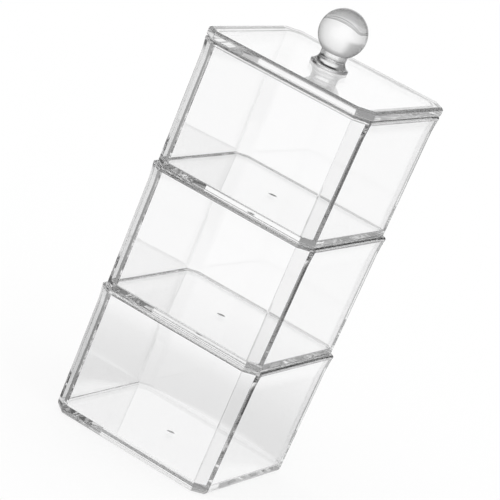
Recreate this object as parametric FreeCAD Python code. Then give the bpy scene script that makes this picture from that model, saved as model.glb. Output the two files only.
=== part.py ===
"""Stacking clear boxes with a knobbed lid, for cotton pads and small toiletries.

Three equal open-topped boxes stand on each other.  The rounded foot of each box
sits in a rebate in the mouth of the box below, and the lid closes the top one.
Millimetres, +Z up, origin at the centre of the face that the stack stands on.
"""
import FreeCAD
import Part
import math
import os

# --- Stack -------------------------------------------------------------------
box_names = ["lower_box", "middle_box", "upper_box"]

# --- Box, outside ------------------------------------------------------------
rim_width = 94.2            # across the flats at the rim's level, before its edge is rounded
rim_round = 1.2             # rounded outer edge of the rim
corner_leg = 7.06           # leg of the 45-degree corner cut, at the rim
box_height = 67.4           # foot to rim
wall_draft = 0.016          # how far a wall leans in, per millimetre down
flare_height = 13.0         # height of the curved flare below the rim
flare_reach = 0.9           # how far the flare stands out from the plain wall
foot_round_height = 3.2     # height of the rounded edge around the foot

# --- Box, inside -------------------------------------------------------------
wall_thickness = 3.1
floor_thickness = 4.2
floor_fillet = 1.2          # between the floor and the inner walls
rebate_depth = 2.1          # from the rim down to the ledge that carries the next box
stack_clearance = 0.25      # each side, between a foot and the rebate around it
seat_width = 0.25           # how far a flat foot reaches over the ledge
gate_mark_diameter = 4.6    # round moulding mark in the middle of the floor
gate_mark_depth = 0.3

# --- Lid ---------------------------------------------------------------------
lid_thickness = 4.7         # the plate that rests on the rim
lid_setback = 0.1           # each side, inside the rim's outline
lid_edge_radius = 1.7       # rounded top edge
lid_lower_round = 1.0       # rounded lower edge of the plate
plug_depth = 2.0            # the step under the plate that drops into the mouth
plug_clearance = 1.0        # each side, between the plug and the inner walls

# --- Knob --------------------------------------------------------------------
ball_diameter = 24.0
ball_lift = 5.6             # from the lid's top to the lowest point of the full ball
neck_diameter = 13.2
neck_height = 4.5           # of the straight neck's lower end above the lid
knob_foot_diameter = 19.0
knob_foot_edge = 1.3        # thickness of the foot at its outer edge
knob_foot_round = 0.6       # rounded lower edge of the foot
knob_flare_hollow = 0.4     # how far the flare curves in between foot and neck

# --- Derived sizes -----------------------------------------------------------
rim_half = rim_width / 2
diagonal_share = math.sqrt(2.0)
corner_cut = rim_half - (rim_width - corner_leg) / diagonal_share
stack_pitch = box_height - rebate_depth
lid_base = box_height + stack_pitch * (len(box_names) - 1)
lid_top = lid_base + lid_thickness
ledge_height = box_height - rebate_depth
cut_over = 1.0              # how far a cutting shape runs past the face it cuts
slab_reach = rim_width


def wall_inset(height):
    """Distance of the plain outer wall inside the rim's outline, at a height."""
    return flare_reach + wall_draft * (box_height - height)


def inner_inset(height):
    """Distance of the inner wall inside the rim's outline, at a height."""
    return wall_inset(height) + wall_thickness


foot_inset = inner_inset(ledge_height) - seat_width
lip_inset = wall_inset(foot_round_height) - stack_clearance
plug_inset = inner_inset(ledge_height) + plug_clearance


def point(across, height):
    """A point of a section, in the XZ plane."""
    return FreeCAD.Vector(across, 0, height)


def line(start, end):
    """A straight edge."""
    return Part.LineSegment(start, end).toShape()


def arc(start, middle, end):
    """A circular edge through three points."""
    return Part.Arc(start, middle, end).toShape()


def round_middle(tangent_end, far_end):
    """Middle point of an arc that leaves its first end straight up or down."""
    across = far_end.x - tangent_end.x
    rise = far_end.z - tangent_end.z
    radius = (across ** 2 + rise ** 2) / (2 * abs(across))
    half_angle = math.atan2(abs(rise), radius - abs(across)) / 2
    side = math.copysign(1.0, across)
    way = math.copysign(1.0, rise)
    return point(
        tangent_end.x + side * radius * (1 - math.cos(half_angle)),
        tangent_end.z + way * radius * math.sin(half_angle),
    )


def hollow_middle(foot_end, neck_end, hollow):
    """Middle point of a flare's arc that curves in below its chord."""
    chord = neck_end - foot_end
    inward = FreeCAD.Vector(-chord.z, 0, chord.x).normalize()
    return (foot_end + neck_end) / 2 + inward * hollow


def flare_girth(half):
    """Point where the flare ends and the rounded edge of the rim begins."""
    flare_start_height = box_height - flare_height
    across = wall_inset(flare_start_height)
    radius = (across ** 2 + flare_height ** 2) / (2 * across)
    rise = flare_height - rim_round
    reach = radius - math.sqrt(radius ** 2 - rise ** 2)
    return point(half - across + reach, flare_start_height + rise)


def outer_side(half):
    """Outer face of a box from foot to rim, for a rim that stands at half."""
    foot = point(half - foot_inset, 0)
    round_top = point(half - wall_inset(foot_round_height), foot_round_height)
    flare_start_height = box_height - flare_height
    flare_start = point(half - wall_inset(flare_start_height), flare_start_height)
    girth = flare_girth(half)
    rim = point(half - rim_round, box_height)
    return [
        arc(foot, round_middle(round_top, foot), round_top),
        line(round_top, flare_start),
        arc(flare_start, round_middle(flare_start, girth), girth),
        arc(girth, round_middle(girth, rim), rim),
    ]


def cavity_side(half):
    """Inner face of a box from its floor, over the ledge, to past the rim."""
    fillet_top_height = floor_thickness + floor_fillet
    fillet_top_across = half - inner_inset(fillet_top_height)
    floor_edge = point(fillet_top_across - floor_fillet, floor_thickness)
    fillet_top = point(fillet_top_across, fillet_top_height)
    ledge_inner = point(half - inner_inset(ledge_height), ledge_height)
    ledge_outer = point(half - lip_inset, ledge_height)
    mouth = point(half - lip_inset, box_height + cut_over)
    return [
        arc(floor_edge, round_middle(fillet_top, floor_edge), fillet_top),
        line(fillet_top, ledge_inner),
        line(ledge_inner, ledge_outer),
        line(ledge_outer, mouth),
    ]


def plate_side(half):
    """Outer face of the lid's plate, with its rounded edges."""
    edge = half - lid_setback
    base = point(edge - lid_lower_round, lid_base)
    lower_end = point(edge, lid_base + lid_lower_round)
    round_start = point(edge, lid_top - lid_edge_radius)
    round_end = point(edge - lid_edge_radius, lid_top)
    return [
        arc(base, round_middle(lower_end, base), lower_end),
        line(lower_end, round_start),
        arc(round_start, round_middle(round_start, round_end), round_end),
    ]


def plug_side(half):
    """Outer face of the lid's plug, which runs up into the plate."""
    edge = half - plug_inset
    return [line(point(edge, lid_base - plug_depth), point(edge, lid_base + lid_thickness / 2))]


def slab(side, turn):
    """A long bar of one symmetric section, turned about the vertical axis."""
    axis_x = FreeCAD.Vector(1, 0, 0)
    centre = FreeCAD.Vector(0, 0, 0)
    mirrored = [edge.mirror(centre, axis_x) for edge in side]
    low = side[0].Vertexes[0].Point
    high = side[-1].Vertexes[-1].Point
    bottom = line(point(-low.x, low.z), low)
    top = line(point(-high.x, high.z), high)
    edges = Part.__sortEdges__(side + mirrored + [bottom, top])
    bar = Part.Face(Part.Wire(edges)).extrude(FreeCAD.Vector(0, 2 * slab_reach, 0))
    bar.translate(FreeCAD.Vector(0, -slab_reach, 0))
    bar.rotate(centre, FreeCAD.Vector(0, 0, 1), turn)
    return bar


def eight_sided(side_of):
    """Solid with four flats and four corner cuts that all follow one section."""
    flats = slab(side_of(rim_half), 0).common(slab(side_of(rim_half), 90))
    corner_half = rim_half - corner_cut
    corners = slab(side_of(corner_half), 45).common(slab(side_of(corner_half), 135))
    return flats.common(corners).Solids[0]


def gate_mark():
    """Shallow round recess in the middle of the floor."""
    base = FreeCAD.Vector(0, 0, floor_thickness - gate_mark_depth)
    return Part.makeCylinder(gate_mark_diameter / 2, gate_mark_depth + cut_over, base)


def box():
    """One open-topped box standing at the origin."""
    return eight_sided(outer_side).cut(eight_sided(cavity_side)).cut(gate_mark())


def lid():
    """Lid: a plate on the rim with a plug that drops into the mouth."""
    return eight_sided(plate_side).fuse(eight_sided(plug_side)).removeSplitter()


def knob():
    """Ball on a short neck with a foot that flares out to the lid."""
    ball_radius = ball_diameter / 2
    ball_centre = lid_top + ball_lift + ball_radius
    neck_radius = neck_diameter / 2
    foot_radius = knob_foot_diameter / 2
    neck_joins_ball = ball_centre - math.sqrt(ball_radius ** 2 - neck_radius ** 2)
    base_centre = point(0, lid_top)
    foot_low = point(foot_radius - knob_foot_round, lid_top)
    foot_round_end = point(foot_radius, lid_top + knob_foot_round)
    foot_high = point(foot_radius, lid_top + knob_foot_edge)
    neck_low = point(neck_radius, lid_top + neck_height)
    neck_high = point(neck_radius, neck_joins_ball)
    ball_side = point(ball_radius, ball_centre)
    ball_top = point(0, ball_centre + ball_radius)
    section = Part.Wire([
        line(base_centre, foot_low),
        arc(foot_low, round_middle(foot_round_end, foot_low), foot_round_end),
        line(foot_round_end, foot_high),
        arc(foot_high, hollow_middle(foot_high, neck_low, knob_flare_hollow), neck_low),
        line(neck_low, neck_high),
        arc(neck_high, ball_side, ball_top),
        line(ball_top, base_centre),
    ])
    return Part.Face(section).revolve(FreeCAD.Vector(0, 0, 0), FreeCAD.Vector(0, 0, 1), 360)


def save(name, shape):
    """Write one sub-part, and print what it measures."""
    solid = shape.Solids[0]
    solid.exportStep("parts/" + name + ".step")
    print(name, "solids", len(shape.Solids), "valid", shape.isValid(), "mm3", round(solid.Volume, 1))


os.makedirs("parts", exist_ok=True)
one_box = box()
for level, box_name in enumerate(box_names):
    placed_box = one_box.copy()
    placed_box.translate(FreeCAD.Vector(0, 0, level * stack_pitch))
    save(box_name, placed_box)
save("lid", lid())
save("ball_knob", knob())
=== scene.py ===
"""Dressed model of stacking boxes for cotton pads: three clear boxes, a clear lid and its ball knob.

Metres, +Z up, with the origin at the centre of the face that the stack stands on.
"""
import logging
import math
from contextlib import contextmanager
from dataclasses import dataclass
from enum import Enum
from typing import Callable, Iterator

import bmesh
import bpy
from mathutils import Euler, Matrix, Vector


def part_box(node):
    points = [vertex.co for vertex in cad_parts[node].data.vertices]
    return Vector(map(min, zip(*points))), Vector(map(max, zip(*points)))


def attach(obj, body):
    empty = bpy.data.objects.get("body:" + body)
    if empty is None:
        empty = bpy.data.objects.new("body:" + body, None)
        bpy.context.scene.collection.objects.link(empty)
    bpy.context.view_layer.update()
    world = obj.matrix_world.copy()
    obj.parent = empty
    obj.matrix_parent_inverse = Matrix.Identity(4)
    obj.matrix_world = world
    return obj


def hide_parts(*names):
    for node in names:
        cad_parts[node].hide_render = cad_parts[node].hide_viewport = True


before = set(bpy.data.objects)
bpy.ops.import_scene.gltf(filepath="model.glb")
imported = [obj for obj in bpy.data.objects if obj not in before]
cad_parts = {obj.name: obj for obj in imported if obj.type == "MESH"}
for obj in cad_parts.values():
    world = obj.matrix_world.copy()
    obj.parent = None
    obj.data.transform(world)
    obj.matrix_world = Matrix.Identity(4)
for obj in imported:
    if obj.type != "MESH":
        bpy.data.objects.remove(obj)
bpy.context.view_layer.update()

LOG = logging.getLogger("cotton_pad_box")
MM = 0.001
SAME = 1e-7                 # two places closer than this are one place
SEAM = 1e-6                 # vertices on the seam and the axis of a spun piece lie within this
AIR_FILM = 0.04 * MM        # gap left where one moulding rests on another
WHITE = (1.0, 1.0, 1.0, 1.0)
HALF_TURN = 180.0           # degrees
ALL_ROUND = 200.0           # half the width in degrees of a card that has no sides
ElementTest = Callable[..., bool]


class Slot(Enum):
    """Material slots of the record that the pieces take their finish from."""

    BOX = "clear_box"
    LID = "clear_lid"
    KNOB = "clear_knob"


class Element(Enum):
    """What a selection is made of, with the name of its list in a mesh."""

    VERT = "verts"
    EDGE = "edges"
    FACE = "faces"


class Mixture(Enum):
    """What a Mix node mixes: its type, its two inputs and its output."""

    NUMBER = ("FLOAT", 2, 3, 0)
    COLOUR = ("RGBA", 6, 7, 2)


@dataclass(frozen=True)
class Edging:
    """How finely the edges of every moulding are rounded and shaded."""

    arc_steps: int = 16
    corner_round: float = 0.15 * MM
    corner_steps: int = 4
    upright_turn: float = math.radians(3)
    break_width: float = 0.2 * MM
    break_steps: int = 3
    break_angle: float = math.radians(40)
    crease: float = math.radians(15)
    area_weight: int = 100


# --- Hand tools --------------------------------------------------------------
def deselect_all() -> None:
    """Deselect every object, so that an operator acts on the new piece alone."""
    bpy.ops.object.select_all(action="DESELECT")


def take_up(piece: bpy.types.Object) -> None:
    """Make one piece the only selected object, and the active one.

    Args:
        piece: The object that the next operators act on.
    """
    deselect_all()
    piece.select_set(True)
    bpy.context.view_layer.objects.active = piece


def start_piece(name: str) -> bpy.types.Object:
    """Name the primitive or copy that was just made, and put its place into its mesh.

    Args:
        name: The piece's name.

    Returns:
        The new object, at the origin, unturned and unscaled.
    """
    piece = bpy.context.object
    take_up(piece)
    bpy.ops.object.transform_apply(location=True, rotation=True, scale=True)
    piece.name = name
    piece.data.name = name
    return piece


@contextmanager
def editing(piece: bpy.types.Object) -> Iterator[None]:
    """Hold one piece in edit mode.

    Args:
        piece: The object to edit.

    Yields:
        Nothing: the piece is in edit mode inside the block.
    """
    take_up(piece)
    bpy.ops.object.mode_set(mode="EDIT")
    try:
        yield
    finally:
        bpy.ops.object.mode_set(mode="OBJECT")


def select_where(piece: bpy.types.Object, element: Element, wanted: ElementTest) -> None:
    """Select the vertices, edges or faces that pass a test, and nothing else.

    Args:
        piece: The object in edit mode.
        element: What to select.
        wanted: Says whether one of them is to be selected.
    """
    bpy.ops.mesh.select_mode(type=element.name)
    bpy.ops.mesh.select_all(action="DESELECT")
    for part in getattr(bmesh.from_edit_mesh(piece.data), element.value):
        if wanted(part):
            part.select_set(True)
    bmesh.update_edit_mesh(piece.data)


def level_face(height: float) -> ElementTest:
    """Test for a level face at a height.

    Args:
        height: Where the face lies.

    Returns:
        A test that passes level faces at that height.
    """
    return lambda face: all(abs(v.co.z - height) < SAME for v in face.verts)


def apply_modifier(piece: bpy.types.Object, kind: str, **settings: object) -> None:
    """Add one modifier to a piece, set it up and apply it.

    Args:
        piece: The object that gets the modifier.
        kind: The modifier's type.
        **settings: The modifier's own settings.
    """
    take_up(piece)
    modifier = piece.modifiers.new(kind.title(), kind)
    for setting, value in settings.items():
        setattr(modifier, setting, value)
    bpy.ops.object.modifier_apply(modifier=modifier.name)


@dataclass(frozen=True)
class Ring:
    """One level outline of a moulding: how far inside the rim it lies, and how high."""

    inset: float
    height: float


def arc_rings(start: Ring, inwards: float, upwards: float, steps: int) -> list[Ring]:
    """Outlines along an arc that leaves a wall straight and leans over.

    Args:
        start: The outline where the arc leaves the wall.
        inwards: How far in the arc ends, below nothing where it ends further out.
        upwards: How far up the arc ends, below nothing where it ends further down.
        steps: How many outlines to give.

    Returns:
        The outlines after the start, in order.
    """
    across, rise = abs(inwards), abs(upwards)
    radius = (across ** 2 + rise ** 2) / (2 * across)
    sweep = math.atan2(rise, radius - across)
    turns = [sweep * i / steps for i in range(1, steps + 1)]
    return [
        Ring(
            start.inset + math.copysign(radius * (1 - math.cos(turn)), inwards),
            start.height + math.copysign(radius * math.sin(turn), upwards),
        )
        for turn in turns
    ]


def sink(start: Ring, rings: list[Ring], way: float = 1.0) -> None:
    """Take the selected level face through a row of outlines, by insets with depth.

    Args:
        start: The outline of the selected face.
        rings: The outlines that follow, in order.
        way: One for a face that looks up, minus one for a face that looks down.
    """
    before = start
    for ring in rings:
        bpy.ops.mesh.inset(
            thickness=ring.inset - before.inset,
            depth=way * (ring.height - before.height),
            use_boundary=True,
            use_even_offset=True,
        )
        before = ring


def lay_outline(piece: bpy.types.Object, corner_leg: float, outline: Ring) -> None:
    """Cut the corners off a square plane and trim it to an outline inside it.

    Args:
        piece: The square plane, at the outline's height.
        corner_leg: Leg of each corner cut, at the square's own outline.
        outline: The outline to trim to.
    """
    bpy.ops.mesh.select_all(action="SELECT")
    bpy.ops.mesh.bevel(offset=corner_leg, segments=1, affect="VERTICES", clamp_overlap=False)
    select_where(piece, Element.FACE, level_face(outline.height))
    sink(Ring(0.0, outline.height), [outline])
    bpy.ops.mesh.select_all(action="INVERT")
    bpy.ops.mesh.delete(type="FACE")
    select_where(piece, Element.FACE, level_face(outline.height))


def close_opening(piece: bpy.types.Object, height: float) -> None:
    """Close the one open outline with a level face and select that face.

    Args:
        piece: The object in edit mode.
        height: Height of the opening.
    """
    select_where(piece, Element.EDGE, lambda edge: edge.is_boundary)
    bpy.ops.mesh.edge_face_add()
    bpy.ops.mesh.select_all(action="SELECT")
    bpy.ops.mesh.normals_make_consistent(inside=False)
    select_where(piece, Element.FACE, level_face(height))


def round_corners(piece: bpy.types.Object, edging: Edging, inner: float) -> None:
    """Round the upright edges where flats and corner cuts meet, from rim to foot.

    Args:
        piece: The eight-sided object.
        edging: How wide and how fine the rounding is.
        inner: Edges nearer to the axis than this are left alone.
    """

    def upright(edge: bmesh.types.BMEdge) -> bool:
        """Whether an edge runs up and down, far enough from the axis."""
        first, second = (v.co.xy for v in edge.verts)
        far_out = min(first.length, second.length) > inner
        return far_out and abs(first.angle_signed(second)) < edging.upright_turn

    with editing(piece):
        select_where(piece, Element.EDGE, upright)
        bpy.ops.mesh.bevel(
            offset=edging.corner_round, segments=edging.corner_steps, clamp_overlap=False
        )


def close_seams(closeness: float) -> None:
    """Merge what meets in the piece in edit mode, and turn all its faces outwards.

    Args:
        closeness: Vertices closer than this are merged.
    """
    bpy.ops.mesh.select_all(action="SELECT")
    bpy.ops.mesh.remove_doubles(threshold=closeness)
    bpy.ops.mesh.normals_make_consistent(inside=False)


def shade(piece: bpy.types.Object, edging: Edging) -> None:
    """Shade a closed piece smooth, with crisp creases and large faces that look flat.

    Args:
        piece: The closed object.
        edging: Says over which angle an edge stays crisp.
    """
    take_up(piece)
    bpy.ops.object.shade_smooth_by_angle(angle=edging.crease)
    apply_modifier(
        piece, "WEIGHTED_NORMAL", mode="FACE_AREA", weight=edging.area_weight, keep_sharp=True
    )


def finish_shell(piece: bpy.types.Object, edging: Edging) -> None:
    """Break the sharp edges, close the mesh and give it clean normals.

    Args:
        piece: The moulded object.
        edging: How wide and how fine the tiny round on each sharp edge is.
    """
    apply_modifier(
        piece, "BEVEL", width=edging.break_width, segments=edging.break_steps,
        limit_method="ANGLE", angle_limit=edging.break_angle, use_clamp_overlap=False,
    )
    with editing(piece):
        close_seams(SAME)
    shade(piece, edging)


# --- Finish ------------------------------------------------------------------
class Nodes:
    """Short hand for wiring the node tree of a material or a world."""

    def __init__(self, tree: bpy.types.NodeTree) -> None:
        """Start on an empty tree.

        Args:
            tree: The tree to fill.
        """
        self.tree = tree
        tree.nodes.clear()

    def add(self, kind: str, **settings: object) -> bpy.types.Node:
        """Add one node.

        Args:
            kind: The node's type.
            **settings: Its own settings.

        Returns:
            The new node.
        """
        node = self.tree.nodes.new(kind)
        for setting, value in settings.items():
            setattr(node, setting, value)
        return node

    def feed(self, socket: bpy.types.NodeSocket, value: object) -> None:
        """Link a socket to another, or set its value.

        Args:
            socket: The input socket.
            value: An output socket, or a plain value.
        """
        if isinstance(value, bpy.types.NodeSocket):
            self.tree.links.new(value, socket)
        else:
            socket.default_value = value

    def maths(self, operation: str, *values: object) -> bpy.types.NodeSocket:
        """Work out one number from others.

        Args:
            operation: What to do with the values.
            *values: Sockets or numbers.

        Returns:
            The socket with the answer.
        """
        node = self.add("ShaderNodeMath", operation=operation)
        for socket, value in zip(node.inputs, values):
            self.feed(socket, value)
        return node.outputs[0]

    def noise(self, place: bpy.types.NodeSocket, scale: float, detail: float) -> bpy.types.NodeSocket:
        """Cloudy noise through a piece.

        Args:
            place: Socket with the place.
            scale: Clouds to the metre.
            detail: How many finer layers lie over them.

        Returns:
            The socket with the noise, from nothing to one.
        """
        node = self.add("ShaderNodeTexNoise")
        for socket, value in (("Vector", place), ("Scale", scale), ("Detail", detail)):
            self.feed(node.inputs[socket], value)
        return node.outputs[0]

    def mix(
        self, mixture: Mixture, share: object, first: object, second: object
    ) -> bpy.types.NodeSocket:
        """Mix two numbers or two colours.

        Args:
            mixture: What is mixed.
            share: How much of the second to take.
            first: The first value or socket.
            second: The second value or socket.

        Returns:
            The socket with the mixture.
        """
        data_type, first_input, second_input, result = mixture.value
        node = self.add("ShaderNodeMix", data_type=data_type)
        for place, value in ((0, share), (first_input, first), (second_input, second)):
            self.feed(node.inputs[place], value)
        return node.outputs[result]

    def through_plastic(self, path: bpy.types.Node) -> bpy.types.NodeSocket:
        """Tell light that is seen through or on the plastic from all other light.

        Args:
            path: The Light Path node.

        Returns:
            The socket with one for such light and nothing for the rest.
        """
        return self.maths("MAXIMUM", path.outputs["Is Transmission Ray"], path.outputs["Is Glossy Ray"])

    def blend(self, share: object, first: object, second: object) -> bpy.types.NodeSocket:
        """Blend two shaders.

        Args:
            share: How much of the second to take.
            first: The first shader's socket.
            second: The second shader's socket.

        Returns:
            The socket with the blend.
        """
        node = self.add("ShaderNodeMixShader")
        for socket, value in zip(node.inputs, (share, first, second)):
            self.feed(socket, value)
        return node.outputs[0]

    def fade(self, value: object, full: float, none: float) -> bpy.types.NodeSocket:
        """Fade softly from one to nothing.

        Args:
            value: The socket that the fade follows.
            full: Where it is one.
            none: Where it is nothing.

        Returns:
            The socket with the share.
        """
        node = self.add("ShaderNodeMapRange", interpolation_type="SMOOTHSTEP")
        self.feed(node.inputs["Value"], value)
        low, high = (full, none) if full < none else (none, full)
        node.inputs["From Min"].default_value = low
        node.inputs["From Max"].default_value = high
        node.inputs["To Min"].default_value = 1.0 if full < none else 0.0
        node.inputs["To Max"].default_value = 0.0 if full < none else 1.0
        return node.outputs[0]


@dataclass(frozen=True)
class ClearPlastic:
    """Clear moulded plastic: glossy, a little wavy, with faint handling haze."""

    name: str
    refraction: float = 1.49
    clear_tint: tuple[float, float, float, float] = (0.99, 0.99, 0.99, 1.0)
    deep_tint: tuple[float, float, float, float] = (0.98, 0.98, 0.982, 1.0)
    tint_scale: float = 18.0
    tint_detail: float = 2.0
    ripple_scale: float = 45.0
    ripple_detail: float = 1.0
    ripple_depth: float = 0.012 * MM
    haze_scale: float = 120.0
    haze_detail: float = 4.0
    most_haze: float = 0.05
    # painted shade: the tint's level at the rim of a round piece, darker as its face turns from the
    # view; one paints none
    painted_rim_shade_level: float = 1.0

    def painted_rim_shade(self, nodes: Nodes, tint: bpy.types.NodeSocket) -> bpy.types.NodeSocket:
        """Paint shade into the tint of a thick round piece, darker towards its rim as its face turns
        from the view.

        Args:
            nodes: The material's nodes.
            tint: Socket with the tint.

        Returns:
            The socket with the tint, with the painted shade in it.
        """
        facing = nodes.add("ShaderNodeLayerWeight").outputs["Facing"]
        rim_shade = nodes.maths("MULTIPLY_ADD", facing, self.painted_rim_shade_level - 1.0, 1.0)
        shaded_tint = nodes.add("ShaderNodeVectorMath", operation="SCALE")
        nodes.feed(shaded_tint.inputs[0], tint)
        nodes.feed(shaded_tint.inputs["Scale"], rim_shade)
        return shaded_tint.outputs[0]

    def material(self) -> bpy.types.Material:
        """Build the node material.

        Returns:
            The new material.
        """
        made = bpy.data.materials.new(self.name)
        made.use_nodes = True
        nodes = Nodes(made.node_tree)
        place = nodes.add("ShaderNodeTexCoord").outputs["Object"]
        shader = nodes.add("ShaderNodeBsdfPrincipled")
        shader.inputs["IOR"].default_value = self.refraction
        shader.inputs["Transmission Weight"].default_value = 1.0
        clouds = nodes.noise(place, self.tint_scale, self.tint_detail)
        tint = nodes.mix(Mixture.COLOUR, clouds, self.clear_tint, self.deep_tint)
        # painted shade, darker towards the rim, where a level below one is given
        if self.painted_rim_shade_level < 1.0:
            tint = self.painted_rim_shade(nodes, tint)
        nodes.feed(shader.inputs["Base Color"], tint)
        handling = nodes.noise(place, self.haze_scale, self.haze_detail)
        nodes.feed(shader.inputs["Roughness"], nodes.maths("MULTIPLY", handling, self.most_haze))
        bump = nodes.add("ShaderNodeBump")
        nodes.feed(bump.inputs["Distance"], self.ripple_depth)
        ripple = nodes.noise(place, self.ripple_scale, self.ripple_detail)
        nodes.feed(bump.inputs["Height"], ripple)
        nodes.feed(shader.inputs["Normal"], bump.outputs["Normal"])
        out = nodes.add("ShaderNodeOutputMaterial")
        nodes.feed(out.inputs["Surface"], shader.outputs[0])
        return made


# --- Boxes -------------------------------------------------------------------
@dataclass
class StackBox:
    """One open-topped box of the stack, and the copies that stand on it."""

    names: tuple[str, ...] = ("lower_box", "middle_box", "upper_box")
    corner_leg: float = 7.06 * MM
    rim_width: float = 94.2 * MM
    wall_draft: float = 0.016
    flare_height: float = 13.0 * MM
    flare_reach: float = 0.9 * MM
    rim_round: float = 1.2 * MM
    foot_round_height: float = 3.2 * MM
    wall_thickness: float = 3.1 * MM
    floor_thickness: float = 4.2 * MM
    floor_fillet: float = 1.2 * MM
    rebate_depth: float = 2.1 * MM
    stack_clearance: float = 0.25 * MM
    seat_width: float = 0.25 * MM
    gate_mark_diameter: float = 4.6 * MM
    gate_mark_depth: float = 0.3 * MM
    punch_segments: int = 64
    punch_rings: int = 128
    edging: Edging = Edging()

    def __post_init__(self) -> None:
        """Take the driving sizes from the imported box."""
        low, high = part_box(self.names[0])
        self.rim_half = self.rim_width / 2
        self.height = high.z - low.z
        self.ledge_height = self.height - self.rebate_depth

    def wall_inset(self, height: float) -> float:
        """Distance of the outer wall inside the rim's outline, at a height."""
        return self.flare_reach + self.wall_draft * (self.height - height)

    def inner_inset(self, height: float) -> float:
        """Distance of the inner wall inside the rim's outline, at a height."""
        return self.wall_inset(height) + self.wall_thickness

    def flare_rings(self) -> list[Ring]:
        """Outlines of the flare, from the plain wall up to the foot of the rounded rim.

        Returns:
            The rings, in order.
        """
        flare_start = self.height - self.flare_height
        wall = self.wall_inset(flare_start)
        radius = (wall ** 2 + self.flare_height ** 2) / (2 * wall)
        rise = self.flare_height - self.rim_round
        reach = radius - math.sqrt(radius ** 2 - rise ** 2)
        foot = Ring(wall, flare_start)
        return [foot] + arc_rings(foot, -reach, rise, self.edging.arc_steps)

    def foot_rings(self) -> list[Ring]:
        """Outlines of the rounded edge around the foot, from the wall down.

        Returns:
            The rings, in order.
        """
        top = Ring(self.wall_inset(self.foot_round_height), self.foot_round_height)
        foot_inset = self.inner_inset(self.ledge_height) - self.seat_width
        drop = self.foot_round_height - AIR_FILM
        return [top] + arc_rings(top, foot_inset - top.inset, -drop, self.edging.arc_steps)

    def rim_rings(self, girth: Ring) -> list[Ring]:
        """Outlines of the rounded rim.

        Args:
            girth: The flare's widest outline, where the rounding starts.

        Returns:
            The rings up to the rim's flat, in order.
        """
        inwards = self.rim_round - girth.inset
        return arc_rings(girth, inwards, self.height - girth.height, self.edging.arc_steps)

    def cavity_rings(self) -> list[Ring]:
        """Outlines of the inner face from the mouth over the ledge to the floor.

        Returns:
            The rings, in order.
        """
        lip = self.wall_inset(self.foot_round_height) - self.stack_clearance
        fillet_height = self.floor_thickness + self.floor_fillet
        fillet_top = Ring(self.inner_inset(fillet_height), fillet_height)
        mouth = [
            Ring(lip, self.height),
            Ring(lip, self.ledge_height),
            Ring(self.inner_inset(self.ledge_height), self.ledge_height),
            fillet_top,
        ]
        return mouth + arc_rings(
            fillet_top, self.floor_fillet, -self.floor_fillet, self.edging.arc_steps
        )

    def mould(self) -> bpy.types.Object:
        """Model the first box.

        Returns:
            The box, standing at the foot of the stack.
        """
        flare = self.flare_rings()
        girth = flare[-1]
        rim = self.rim_rings(girth)
        deselect_all()
        bpy.ops.mesh.primitive_plane_add(size=self.rim_width, location=(0, 0, girth.height))
        shell = start_piece(self.names[0] + "_moulding")
        with editing(shell):
            lay_outline(shell, self.corner_leg, girth)
            sink(girth, flare[-2::-1] + self.foot_rings())
            close_opening(shell, girth.height)
            sink(girth, rim + self.cavity_rings())
        flat_floor = self.rim_half - self.inner_inset(0.0) - 2 * self.floor_fillet
        round_corners(shell, self.edging, flat_floor)
        self.press_gate_mark(shell)
        finish_shell(shell, self.edging)
        return shell

    def press_gate_mark(self, shell: bpy.types.Object) -> None:
        """Sink the round moulding mark into the middle of the floor.

        Args:
            shell: The box.
        """
        reach = self.gate_mark_diameter / 2
        curve = (reach ** 2 + self.gate_mark_depth ** 2) / (2 * self.gate_mark_depth)
        deselect_all()
        bpy.ops.mesh.primitive_uv_sphere_add(
            segments=self.punch_segments, ring_count=self.punch_rings, radius=curve,
            location=(0, 0, self.floor_thickness - self.gate_mark_depth + curve),
        )
        punch = start_piece("gate_mark_punch")
        apply_modifier(shell, "BOOLEAN", operation="DIFFERENCE", object=punch, solver="EXACT")
        bpy.data.objects.remove(punch)

    def build(self, finish: ClearPlastic) -> None:
        """Model one box, copy it up the stack, and dress them all.

        They are dressed once all of them are there, because a copy keeps what its
        original has been dressed with.

        Args:
            finish: The plastic that the boxes are moulded in.
        """
        material = finish.material()
        shells = [self.mould()]
        for name in self.names[1:]:
            take_up(shells[0])
            bpy.ops.object.duplicate()
            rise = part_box(name)[0].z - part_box(self.names[0])[0].z
            bpy.ops.transform.translate(value=(0, 0, rise))
            shells.append(start_piece(name + "_moulding"))
        for name, shell in zip(self.names, shells):
            dress(shell, material, name, name)


def dress(
    piece: bpy.types.Object, material: bpy.types.Material, body: str, node: str
) -> None:
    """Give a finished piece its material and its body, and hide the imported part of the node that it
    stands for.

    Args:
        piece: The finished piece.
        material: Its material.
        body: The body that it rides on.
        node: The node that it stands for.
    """
    piece.data.materials.clear()
    piece.data.materials.append(material)
    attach(piece, body)
    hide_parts(node)
    LOG.info("%s: %d faces on body %s", piece.name, len(piece.data.polygons), body)


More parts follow.
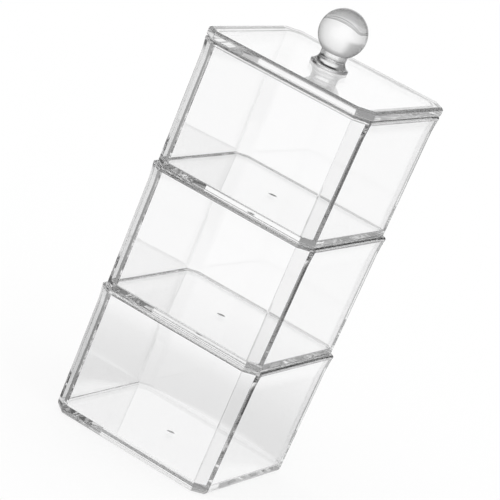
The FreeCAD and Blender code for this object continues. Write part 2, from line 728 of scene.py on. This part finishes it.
# --- Lid ---------------------------------------------------------------------
@dataclass
class Lid:
    """The plate that rests on the top rim, with the plug that drops into the mouth."""

    node: str = "lid"
    setback: float = 0.1 * MM
    plate_thickness: float = 4.7 * MM
    edge_radius: float = 1.7 * MM
    lower_radius: float = 1.0 * MM
    plug_clearance: float = 1.0 * MM
    edging: Edging = Edging()

    def build(self, box: StackBox, finish: ClearPlastic) -> None:
        """Model the lid and dress it.

        Args:
            box: The box whose mouth the lid closes.
            finish: The plastic that the lid is moulded in.
        """
        low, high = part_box(self.node)
        base = high.z - self.plate_thickness + AIR_FILM
        plug_inset = box.inner_inset(box.ledge_height) + self.plug_clearance
        plug = [Ring(plug_inset, base), Ring(plug_inset, low.z)]
        girth = Ring(self.setback, base + self.lower_radius)
        side_top = Ring(self.setback, high.z - self.edge_radius)
        steps = self.edging.arc_steps
        upper = arc_rings(side_top, self.edge_radius, self.edge_radius, steps)
        lower = arc_rings(girth, self.lower_radius, -self.lower_radius, steps)
        deselect_all()
        bpy.ops.mesh.primitive_plane_add(size=box.rim_width, location=(0, 0, girth.height))
        lid = start_piece("lid_moulding")
        with editing(lid):
            lay_outline(lid, box.corner_leg, girth)
            sink(girth, [side_top] + upper)
            close_opening(lid, girth.height)
            sink(girth, lower + plug, way=-1.0)
        round_corners(lid, self.edging, box.rim_half / 2)
        finish_shell(lid, self.edging)
        dress(lid, finish.material(), "lid", self.node)


# --- Knob --------------------------------------------------------------------
@dataclass
class BallKnob:
    """The clear ball on its short neck and flared foot."""

    node: str = "ball_knob"
    neck_diameter: float = 13.2 * MM
    neck_height: float = 4.5 * MM
    foot_diameter: float = 19.0 * MM
    foot_edge: float = 1.3 * MM
    foot_round: float = 0.6 * MM
    flare_hollow: float = 0.4 * MM
    flare_steps: int = 8
    round_steps: int = 6
    turns: int = 128
    edging: Edging = Edging()

    def build(self, finish: ClearPlastic) -> None:
        """Turn the knob's profile about its axis and dress it.

        Args:
            finish: The plastic that the knob is moulded in.
        """
        low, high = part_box(self.node)
        ball_radius = (high.x - low.x) / 2
        centre = high.z - ball_radius
        neck = self.neck_diameter / 2
        joins = centre - math.sqrt(ball_radius ** 2 - neck ** 2)
        deselect_all()
        bpy.ops.mesh.primitive_circle_add(
            vertices=self.turns, radius=ball_radius, location=(0, 0, centre),
            rotation=(math.pi / 2, 0, 0),
        )
        knob = start_piece("ball_knob_moulding")

        def spare(vert: bmesh.types.BMVert) -> bool:
            """Whether a vertex lies past the axis or inside the neck."""
            in_neck = vert.co.z < centre and abs(vert.co.x) < neck + SAME
            return vert.co.x < -SAME or in_neck

        with editing(knob):
            select_where(knob, Element.VERT, spare)
            bpy.ops.mesh.delete(type="VERT")
            self.draw_stem(knob, low.z, joins)
            bpy.ops.mesh.select_all(action="SELECT")
            bpy.ops.mesh.spin(
                steps=self.turns, angle=2 * math.pi, center=(0, 0, 0), axis=(0, 0, 1)
            )
            close_seams(SEAM)
        shade(knob, self.edging)
        dress(knob, finish.material(), "lid", self.node)

    def draw_stem(self, knob: bpy.types.Object, base: float, joins: float) -> None:
        """Draw the profile on from the ball, down the neck and the flare to the axis.

        Args:
            knob: The object in edit mode, with the ball's half circle.
            base: Height of the lid's top.
            joins: Height where the neck meets the ball.
        """
        neck = self.neck_diameter / 2
        foot = self.foot_diameter / 2
        neck_low = Vector((neck, base + self.neck_height))
        foot_high = Vector((foot, base + self.foot_edge))
        chord = neck_low - foot_high
        inward = Vector((-chord.y, chord.x)).normalized()
        shares = [i / self.flare_steps for i in range(1, self.flare_steps + 1)]
        # four times share and rest: nothing at both ends of the flare, and one half way
        flare = [
            neck_low.lerp(foot_high, share) + inward * self.flare_hollow * 4 * share * (1 - share)
            for share in shares
        ]
        quarter = [math.pi / 2 * i / self.round_steps for i in range(self.round_steps + 1)]
        foot_turn = [
            Vector((
                foot - self.foot_round * (1 - math.cos(turn)),
                base + self.foot_round * (1 - math.sin(turn)),
            ))
            for turn in quarter
        ]
        path = [Vector((neck, joins)), neck_low] + flare + foot_turn + [Vector((0.0, base))]
        path = [Vector((p.x, p.y + (AIR_FILM if p.y < base + SAME else 0.0))) for p in path]
        bpy.ops.mesh.select_all(action="DESELECT")
        shape = bmesh.from_edit_mesh(knob.data)
        lower = [v for v in shape.verts if len(v.link_edges) == 1]
        end = min(lower, key=lambda v: v.co.z)
        end.select_set(True)
        here = Vector((end.co.x, end.co.z))
        bmesh.update_edit_mesh(knob.data)
        for place in path:
            move = place - here
            bpy.ops.mesh.extrude_region_move(
                TRANSFORM_OT_translate={"value": (move.x, 0.0, move.y)}
            )
            here = place


# --- Studio ------------------------------------------------------------------
def heading(azimuth: float, elevation: float) -> Vector:
    """Unit vector towards a place around the stack.

    Args:
        azimuth: Degrees round from the front, towards +X.
        elevation: Degrees above the horizon.

    Returns:
        The vector.
    """
    turn, rise = math.radians(azimuth), math.radians(elevation)
    return Vector((
        math.sin(turn) * math.cos(rise), -math.cos(turn) * math.cos(rise), math.sin(rise)
    ))


@dataclass(frozen=True)
class SoftCard:
    """One large soft-edged card around the stack, light or dark, placed by angle.

    All but the level is in degrees.  The azimuth runs from the camera's side to its right.
    """

    azimuth: float
    elevation: float
    half_width: float
    half_height: float
    softness: float
    level: float

    def cover(
        self, nodes: Nodes, azimuth: bpy.types.NodeSocket, elevation: bpy.types.NodeSocket
    ) -> bpy.types.NodeSocket:
        """How much of each direction the card covers.

        Args:
            nodes: The world's nodes.
            azimuth: Socket with the direction's azimuth in degrees.
            elevation: Socket with the direction's elevation in degrees.

        Returns:
            The socket with the share.
        """
        turned = nodes.maths("SUBTRACT", azimuth, self.azimuth)
        beside = nodes.maths("WRAP", turned, HALF_TURN, -HALF_TURN)
        above = nodes.maths("SUBTRACT", elevation, self.elevation)
        shares = [
            nodes.fade(nodes.maths("ABSOLUTE", offset), half - self.softness, half + self.softness)
            for offset, half in ((beside, self.half_width), (above, self.half_height))
        ]
        return nodes.maths("MULTIPLY", *shares)


@dataclass
class Studio:
    """Pale floor, the cards that the clear plastic shows, and the camera.

    Angles are in degrees, the lens and its sensor in millimetres, and levels run to one.
    """

    view_azimuth: float = 22.36
    view_pitch: float = 15.22
    view_roll: float = 23.27
    view_distance: float = 1.3681
    aim_height: float = 105.1 * MM
    lens: float = 204.34
    sensor: float = 36.0
    room_level: float = 0.35
    backdrop: SoftCard = SoftCard(156, 9, 39, 21, 9, 1.0)
    floor_width: float = 6.0
    floor_drop: float = 0.2 * MM
    floor_shadow: float = 0.15
    # painted shadow: seen through the plastic, the floor is this dark out to the first distance below,
    # and plain past the second
    painted_shadow_level: float = 0.8
    painted_shadow_from: float = 75 * MM
    painted_shadow_to: float = 250 * MM
    under_level: float = 0.96
    under_reach: float = 62 * MM
    under_softness: float = 6 * MM
    first_mirror: float = 0.5   # light with fewer mirror reflections than this has had none
    bounces: int = 32

    def cards(self) -> list[SoftCard]:
        """The cards, light and dark, that light mirrored on or in the plastic shows.

        Returns:
            The cards, of which a later one covers those before it.
        """
        black_above_backdrop = SoftCard(155, 45, 56, 17, 7, 0.04)
        black_strip_right = SoftCard(147, 12, 18, 20, 6, 0.07)
        black_strip_left = SoftCard(-57, 12, 15, 28, 6, 0.12)
        front_light = SoftCard(14, 27, 40, 31, 9, 1.0)
        dark_floor_right = SoftCard(119, -26, 75, 19, 7, 0.0)
        pale_floor_behind = SoftCard(175, -1, 21, 16, 7, 1.0)
        pale_floor_right = SoftCard(136, -15, 14, 9, 3, 0.92)
        dark_floor_left = SoftCard(-118, -30, 18, 14, 5, 0.05)
        black_high_front = SoftCard(-24, 52, 27, 11, 6, 0.4)
        black_right_front = SoftCard(58, 29, 15, 14, 5, 0.13)
        pale_floor_front = SoftCard(-24, -6, 36, 21, 5, 1.0)
        return [
            self.backdrop, black_above_backdrop, black_strip_right, black_strip_left, front_light,
            dark_floor_right, pale_floor_behind, pale_floor_right, dark_floor_left,
            black_high_front, black_right_front, pale_floor_front,
        ]

    def surroundings(self) -> list[SoftCard]:
        """What lies all round, as it shows straight through the plastic.

        Returns:
            The cards, of which a later one covers those before it.
        """
        room = SoftCard(0, 44, ALL_ROUND, 50, 4, 0.6)
        deep_ground = SoftCard(0, -62, ALL_ROUND, 32, 4, 0.75)
        far_ground = SoftCard(0, -17, ALL_ROUND, 16, 4, 1.0)
        return [room, self.backdrop, deep_ground, far_ground]

    def floor(self) -> None:
        """Lay the pale floor: it keeps a soft shadow, and lets the cards show in the plastic. Seen
        through the plastic, it has a painted shadow, darker close around the stack.
        """
        deselect_all()
        bpy.ops.mesh.primitive_plane_add(size=self.floor_width, location=(0, 0, -self.floor_drop))
        floor = start_piece("studio_floor")
        material = bpy.data.materials.new("pale_floor")
        material.use_nodes = True
        nodes = Nodes(material.node_tree)
        path = nodes.add("ShaderNodeLightPath")
        away = nodes.add("ShaderNodeVectorMath", operation="LENGTH")
        nodes.feed(away.inputs[0], nodes.add("ShaderNodeTexCoord").outputs["Object"])
        distance = away.outputs["Value"]
        # painted shadow: the floor seen through the plastic is darker close around the stack
        painted_shadow_share = nodes.fade(distance, self.painted_shadow_from, self.painted_shadow_to)
        clear = nodes.add("ShaderNodeBsdfTransparent")
        nodes.feed(clear.inputs["Color"], nodes.maths("MULTIPLY_ADD", painted_shadow_share, self.painted_shadow_level - 1.0, 1.0))
        under = nodes.add("ShaderNodeEmission")
        nodes.feed(under.inputs["Color"], (self.under_level,) * 3 + (1.0,))
        under_edge = self.under_reach - self.under_softness, self.under_reach + self.under_softness
        beneath = nodes.fade(distance, *under_edge)
        white = nodes.add("ShaderNodeEmission")
        nodes.feed(white.inputs["Color"], WHITE)
        plain = nodes.add("ShaderNodeBsdfDiffuse")
        nodes.feed(plain.inputs["Color"], WHITE)
        shown = nodes.blend(self.floor_shadow, white.outputs[0], plain.outputs[0])
        inside = nodes.blend(beneath, clear.outputs[0], under.outputs[0])
        lit = nodes.blend(nodes.through_plastic(path), plain.outputs[0], inside)
        out = nodes.add("ShaderNodeOutputMaterial")
        nodes.feed(out.inputs["Surface"], nodes.blend(path.outputs["Is Camera Ray"], lit, shown))
        floor.data.materials.append(material)

    def light(self) -> None:
        """Surround the stack with plain light, and with what the plastic shows in its place."""
        world = bpy.data.worlds.new("studio")
        bpy.context.scene.world = world
        world.use_nodes = True
        nodes = Nodes(world.node_tree)
        path = nodes.add("ShaderNodeLightPath")
        towards = nodes.add("ShaderNodeSeparateXYZ")
        nodes.feed(towards.inputs[0], nodes.add("ShaderNodeTexCoord").outputs["Generated"])
        x, y, z = towards.outputs
        turn = nodes.maths("ARCTAN2", x, nodes.maths("MULTIPLY", y, -1.0))
        azimuth = nodes.maths("SUBTRACT", nodes.maths("DEGREES", turn), self.view_azimuth)
        elevation = nodes.maths("DEGREES", nodes.maths("ARCSINE", z))
        level = self.room_level
        for card in self.cards():
            share = card.cover(nodes, azimuth, elevation)
            level = nodes.mix(Mixture.NUMBER, share, level, card.level)
        straight = nodes.maths("LESS_THAN", path.outputs["Glossy Depth"], self.first_mirror)
        for card in self.surroundings():
            share = nodes.maths("MULTIPLY", straight, card.cover(nodes, azimuth, elevation))
            level = nodes.mix(Mixture.NUMBER, share, level, card.level)
        shown = nodes.mix(Mixture.NUMBER, nodes.through_plastic(path), 1.0, level)
        glow = nodes.add("ShaderNodeBackground")
        nodes.feed(glow.inputs["Color"], shown)
        out = nodes.add("ShaderNodeOutputWorld")
        nodes.feed(out.inputs["Surface"], glow.outputs[0])

    def light_paths(self) -> None:
        """Let light run on inside the clear walls until it leaves them."""
        cycles = bpy.context.scene.cycles
        cycles.max_bounces = self.bounces
        cycles.transmission_bounces = self.bounces
        cycles.glossy_bounces = self.bounces

    def camera(self) -> None:
        """Set up the camera, turned about the line to the stack by its roll."""
        lens = bpy.data.cameras.new("studio_camera")
        camera = bpy.data.objects.new("studio_camera", lens)
        bpy.context.scene.collection.objects.link(camera)
        lens.sensor_width = self.sensor
        lens.lens = self.lens
        tip = math.radians(90 - self.view_pitch)
        turn = Euler((tip, 0, math.radians(self.view_azimuth))).to_matrix()
        turn = turn @ Matrix.Rotation(math.radians(self.view_roll), 3, "Z")
        back = heading(self.view_azimuth, self.view_pitch) * self.view_distance
        place = Matrix.Translation(Vector((0, 0, self.aim_height)) + back)
        camera.matrix_world = place @ turn.to_4x4()
        bpy.context.scene.camera = camera


def main() -> None:
    """Build the pieces in order and set up the studio."""
    logging.basicConfig(level=logging.INFO, format="%(message)s")
    bpy.context.scene.view_settings.view_transform = "Standard"
    boxes = StackBox()
    boxes.build(ClearPlastic("clear_box_plastic"))
    Lid().build(boxes, ClearPlastic("clear_lid_plastic"))
    # the knob's tint has painted shade, falling to a tenth at its rim
    BallKnob().build(ClearPlastic("clear_knob_plastic", painted_rim_shade_level=0.1))
    studio = Studio()
    studio.floor()
    studio.light()
    studio.light_paths()
    studio.camera()


if __name__ == "__main__":
    main()
